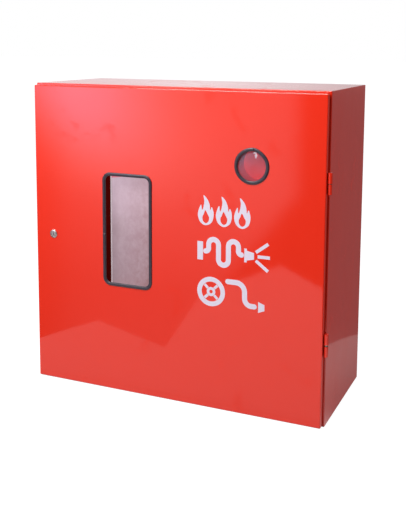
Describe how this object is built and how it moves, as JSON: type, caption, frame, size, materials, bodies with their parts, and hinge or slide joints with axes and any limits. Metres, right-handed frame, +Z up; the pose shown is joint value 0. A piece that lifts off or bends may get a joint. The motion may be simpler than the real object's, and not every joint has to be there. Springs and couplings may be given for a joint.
{
  "type": "fire hose reel cabinet",
  "caption": "Red sheet-metal wall cabinet with a hinged, lockable, windowed door and a fire hose reel inside on a fixed spindle, fed through a ball valve.",
  "frame": {"origin": "centre of the cabinet's underside, which stands on the floor or a shelf", "axes": "+Z up, -Y out of the door, +Y into the wall, +X towards the hinge side"},
  "size_m": [0.8076, 0.353, 0.8],
  "materials": {
    "red_paint": "satin-gloss red powder coat",
    "rubber": "matt black edging rubber",
    "opal_pane": "pale hazy acrylic, satin",
    "clear_pane": "clear acrylic, polished",
    "chrome": "nickel-chrome plated, polished",
    "zinc": "bright zinc plated steel",
    "galvanised": "galvanised steel, dull",
    "brass": "machined brass, slightly dulled",
    "nylon": "natural nylon",
    "black_grip": "black dipped vinyl grip"
  },
  "bodies": {
    "cabinet": {"left_panel": "red_paint", "right_panel": "red_paint", "top_panel": "red_paint", "bottom_panel": "red_paint", "back_panel": "red_paint", "door_bumper_upper": "rubber", "door_bumper_lower": "rubber", "upper_hinge_body_leaf": "red_paint", "lower_hinge_body_leaf": "red_paint", "upper_hinge_pin": "zinc", "lower_hinge_pin": "zinc", "upper_hinge_washer": "brass", "lower_hinge_washer": "brass", "reel_bracket": "galvanised", "bracket_bolt_1": "zinc", "bracket_bolt_2": "zinc", "bracket_bolt_3": "zinc", "bracket_bolt_4": "zinc", "reel_spindle": "brass", "spindle_washer": "zinc", "spindle_nut": "zinc", "pipe_grommet": "rubber", "supply_pipe": "galvanised", "valve_body": "brass", "valve_end_cap": "brass", "riser_pipe": "galvanised", "union_nut": "brass"},
    "door": {"door_skin": "red_paint", "door_stiffener": "red_paint", "window_seal": "rubber", "window_box": "red_paint", "window_pane": "opal_pane", "window_retainer": "galvanised", "retainer_rivet_left": "zinc", "retainer_rivet_right": "zinc", "round_seal": "rubber", "round_pane": "clear_pane", "key_cup": "red_paint", "key_hook": "chrome", "lock_body": "chrome", "lock_nut": "zinc", "upper_hinge_door_leaf": "red_paint", "lower_hinge_door_leaf": "red_paint"},
    "lock": {"lock_plug": "chrome", "lock_cam": "zinc", "cam_screw": "zinc"},
    "reel": {"reel_front_disc": "red_paint", "reel_rear_disc": "red_paint", "drum_core": "red_paint", "drum_hub": "brass", "front_bush": "nylon", "rear_bush": "nylon", "front_swivel_seal": "rubber", "rear_swivel_seal": "rubber", "hose_outlet": "brass"},
    "valve_handle": {"valve_lever": "galvanised", "lever_grip": "black_grip", "lever_nut": "zinc", "valve_stem": "zinc", "valve_ball": "chrome"}
  },
  "joints": [
    {"name": "door_hinge", "type": "hinge", "parent": "cabinet", "child": "door", "pos_m": [0.402, -0.172, 0.4], "axis": [0, 0, 1], "range_deg": [0, 170]},
    {"name": "lock_turn", "type": "hinge", "parent": "door", "child": "lock", "pos_m": [-0.3428, -0.184, 0.4015], "axis": [0, 1, 0], "range_deg": [0, 90]},
    {"name": "reel_spin", "type": "hinge", "parent": "cabinet", "child": "reel", "pos_m": [-0.03, -0.017, 0.392], "axis": [0, 1, 0], "continuous": true},
    {"name": "valve_turn", "type": "hinge", "parent": "cabinet", "child": "valve_handle", "pos_m": [-0.24, 0.12, 0.15], "axis": [0, 1, 0], "range_deg": [0, 90]}
  ]
}
